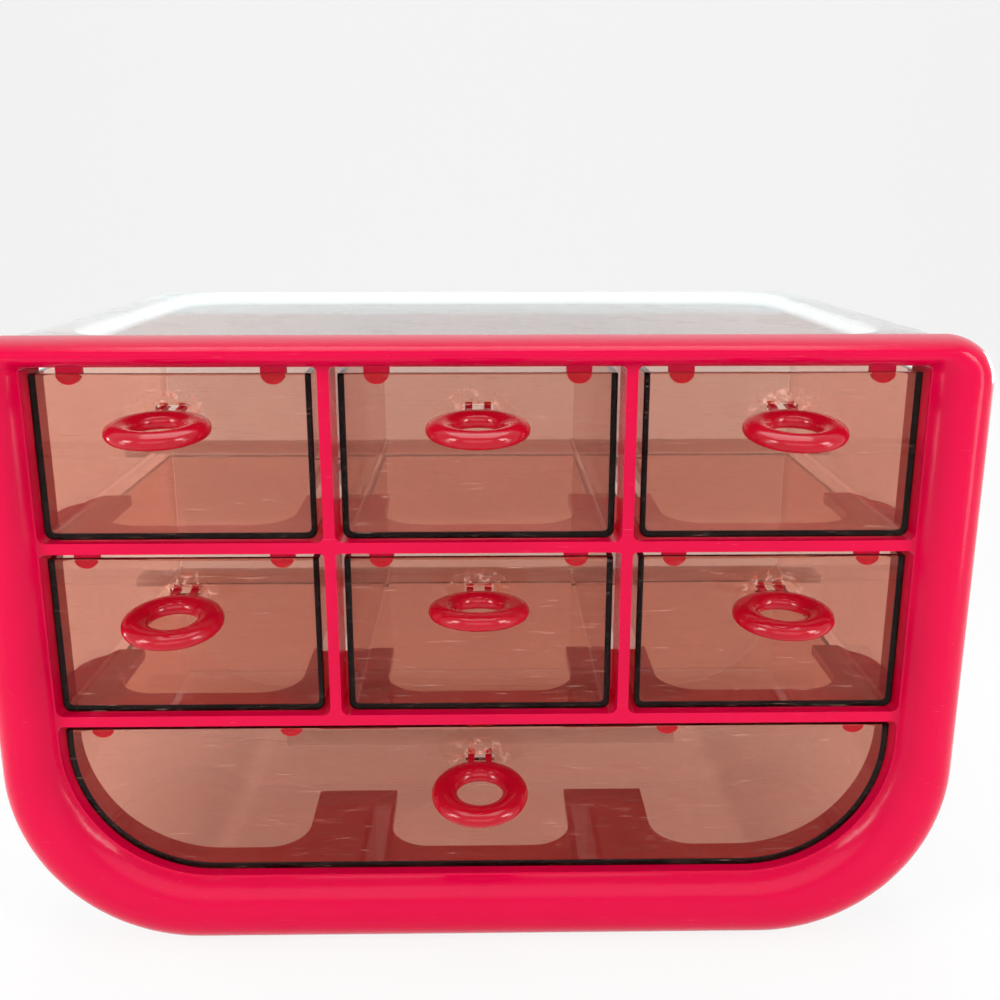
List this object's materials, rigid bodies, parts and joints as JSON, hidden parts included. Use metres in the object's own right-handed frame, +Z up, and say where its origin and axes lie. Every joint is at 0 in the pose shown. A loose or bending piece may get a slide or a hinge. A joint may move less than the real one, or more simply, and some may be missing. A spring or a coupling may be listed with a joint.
{
  "type": "drawer organizer",
  "caption": "Desktop drawer organizer: open-fronted shell with a shallow tray on top, rolled front frame, sliding transparent drawers and ring pulls.",
  "frame": {"origin": "middle of the shell's flat underside, on the surface the organizer stands on", "axes": "+X to the right as seen from the front, +Y from the drawer fronts to the back, +Z up"},
  "size_m": [0.32, 0.2349, 0.2085],
  "materials": {
    "shell": "gloss",
    "frame": "gloss",
    "drawer": "transparent gloss",
    "ring": "gloss"
  },
  "bodies": {
    "case": {"outer_shell": "shell", "front_frame": "frame"},
    "drawer_upper_left": {"drawer_upper_left": "drawer"},
    "ring_pull_upper_left": {"ring_pull_upper_left": "ring"},
    "drawer_upper_middle": {"drawer_upper_middle": "drawer"},
    "ring_pull_upper_middle": {"ring_pull_upper_middle": "ring"},
    "drawer_upper_right": {"drawer_upper_right": "drawer"},
    "ring_pull_upper_right": {"ring_pull_upper_right": "ring"},
    "drawer_middle_left": {"drawer_middle_left": "drawer"},
    "ring_pull_middle_left": {"ring_pull_middle_left": "ring"},
    "drawer_middle_middle": {"drawer_middle_middle": "drawer"},
    "ring_pull_middle_middle": {"ring_pull_middle_middle": "ring"},
    "drawer_middle_right": {"drawer_middle_right": "drawer"},
    "ring_pull_middle_right": {"ring_pull_middle_right": "ring"},
    "drawer_lower": {"drawer_lower": "drawer"},
    "ring_pull_lower": {"ring_pull_lower": "ring"}
  },
  "joints": [
    {"name": "drawer_upper_left_slide", "type": "slide", "parent": "case", "child": "drawer_upper_left", "axis": [0, -1, 0], "range_m": [0, 0.14]},
    {"name": "ring_pull_upper_left_tilt", "type": "hinge", "parent": "drawer_upper_left", "child": "ring_pull_upper_left", "pos_m": [-0.094, -0.104, 0.1866], "axis": [1, 0, 0], "range_deg": [-15, 9]},
    {"name": "drawer_upper_middle_slide", "type": "slide", "parent": "case", "child": "drawer_upper_middle", "axis": [0, -1, 0], "range_m": [0, 0.14]},
    {"name": "ring_pull_upper_middle_tilt", "type": "hinge", "parent": "drawer_upper_middle", "child": "ring_pull_upper_middle", "pos_m": [0, -0.104, 0.1866], "axis": [1, 0, 0], "range_deg": [-15, 9]},
    {"name": "drawer_upper_right_slide", "type": "slide", "parent": "case", "child": "drawer_upper_right", "axis": [0, -1, 0], "range_m": [0, 0.14]},
    {"name": "ring_pull_upper_right_tilt", "type": "hinge", "parent": "drawer_upper_right", "child": "ring_pull_upper_right", "pos_m": [0.094, -0.104, 0.1866], "axis": [1, 0, 0], "range_deg": [-17.5, 6.5]},
    {"name": "drawer_middle_left_slide", "type": "slide", "parent": "case", "child": "drawer_middle_left", "axis": [0, -1, 0], "range_m": [0, 0.14]},
    {"name": "ring_pull_middle_left_tilt", "type": "hinge", "parent": "drawer_middle_left", "child": "ring_pull_middle_left", "pos_m": [-0.094, -0.104, 0.1275], "axis": [1, 0, 0], "range_deg": [-18, 6]},
    {"name": "drawer_middle_middle_slide", "type": "slide", "parent": "case", "child": "drawer_middle_middle", "axis": [0, -1, 0], "range_m": [0, 0.14]},
    {"name": "ring_pull_middle_middle_tilt", "type": "hinge", "parent": "drawer_middle_middle", "child": "ring_pull_middle_middle", "pos_m": [0, -0.104, 0.1275], "axis": [1, 0, 0], "range_deg": [-7, 17]},
    {"name": "drawer_middle_right_slide", "type": "slide", "parent": "case", "child": "drawer_middle_right", "axis": [0, -1, 0], "range_m": [0, 0.14]},
    {"name": "ring_pull_middle_right_tilt", "type": "hinge", "parent": "drawer_middle_right", "child": "ring_pull_middle_right", "pos_m": [0.094, -0.104, 0.1275], "axis": [1, 0, 0], "range_deg": [-14, 10]},
    {"name": "drawer_lower_slide", "type": "slide", "parent": "case", "child": "drawer_lower", "axis": [0, -1, 0], "range_m": [0, 0.14]},
    {"name": "ring_pull_lower_tilt", "type": "hinge", "parent": "drawer_lower", "child": "ring_pull_lower", "pos_m": [0, -0.104, 0.0684], "axis": [1, 0, 0], "range_deg": [-19, 5]}
  ]
}
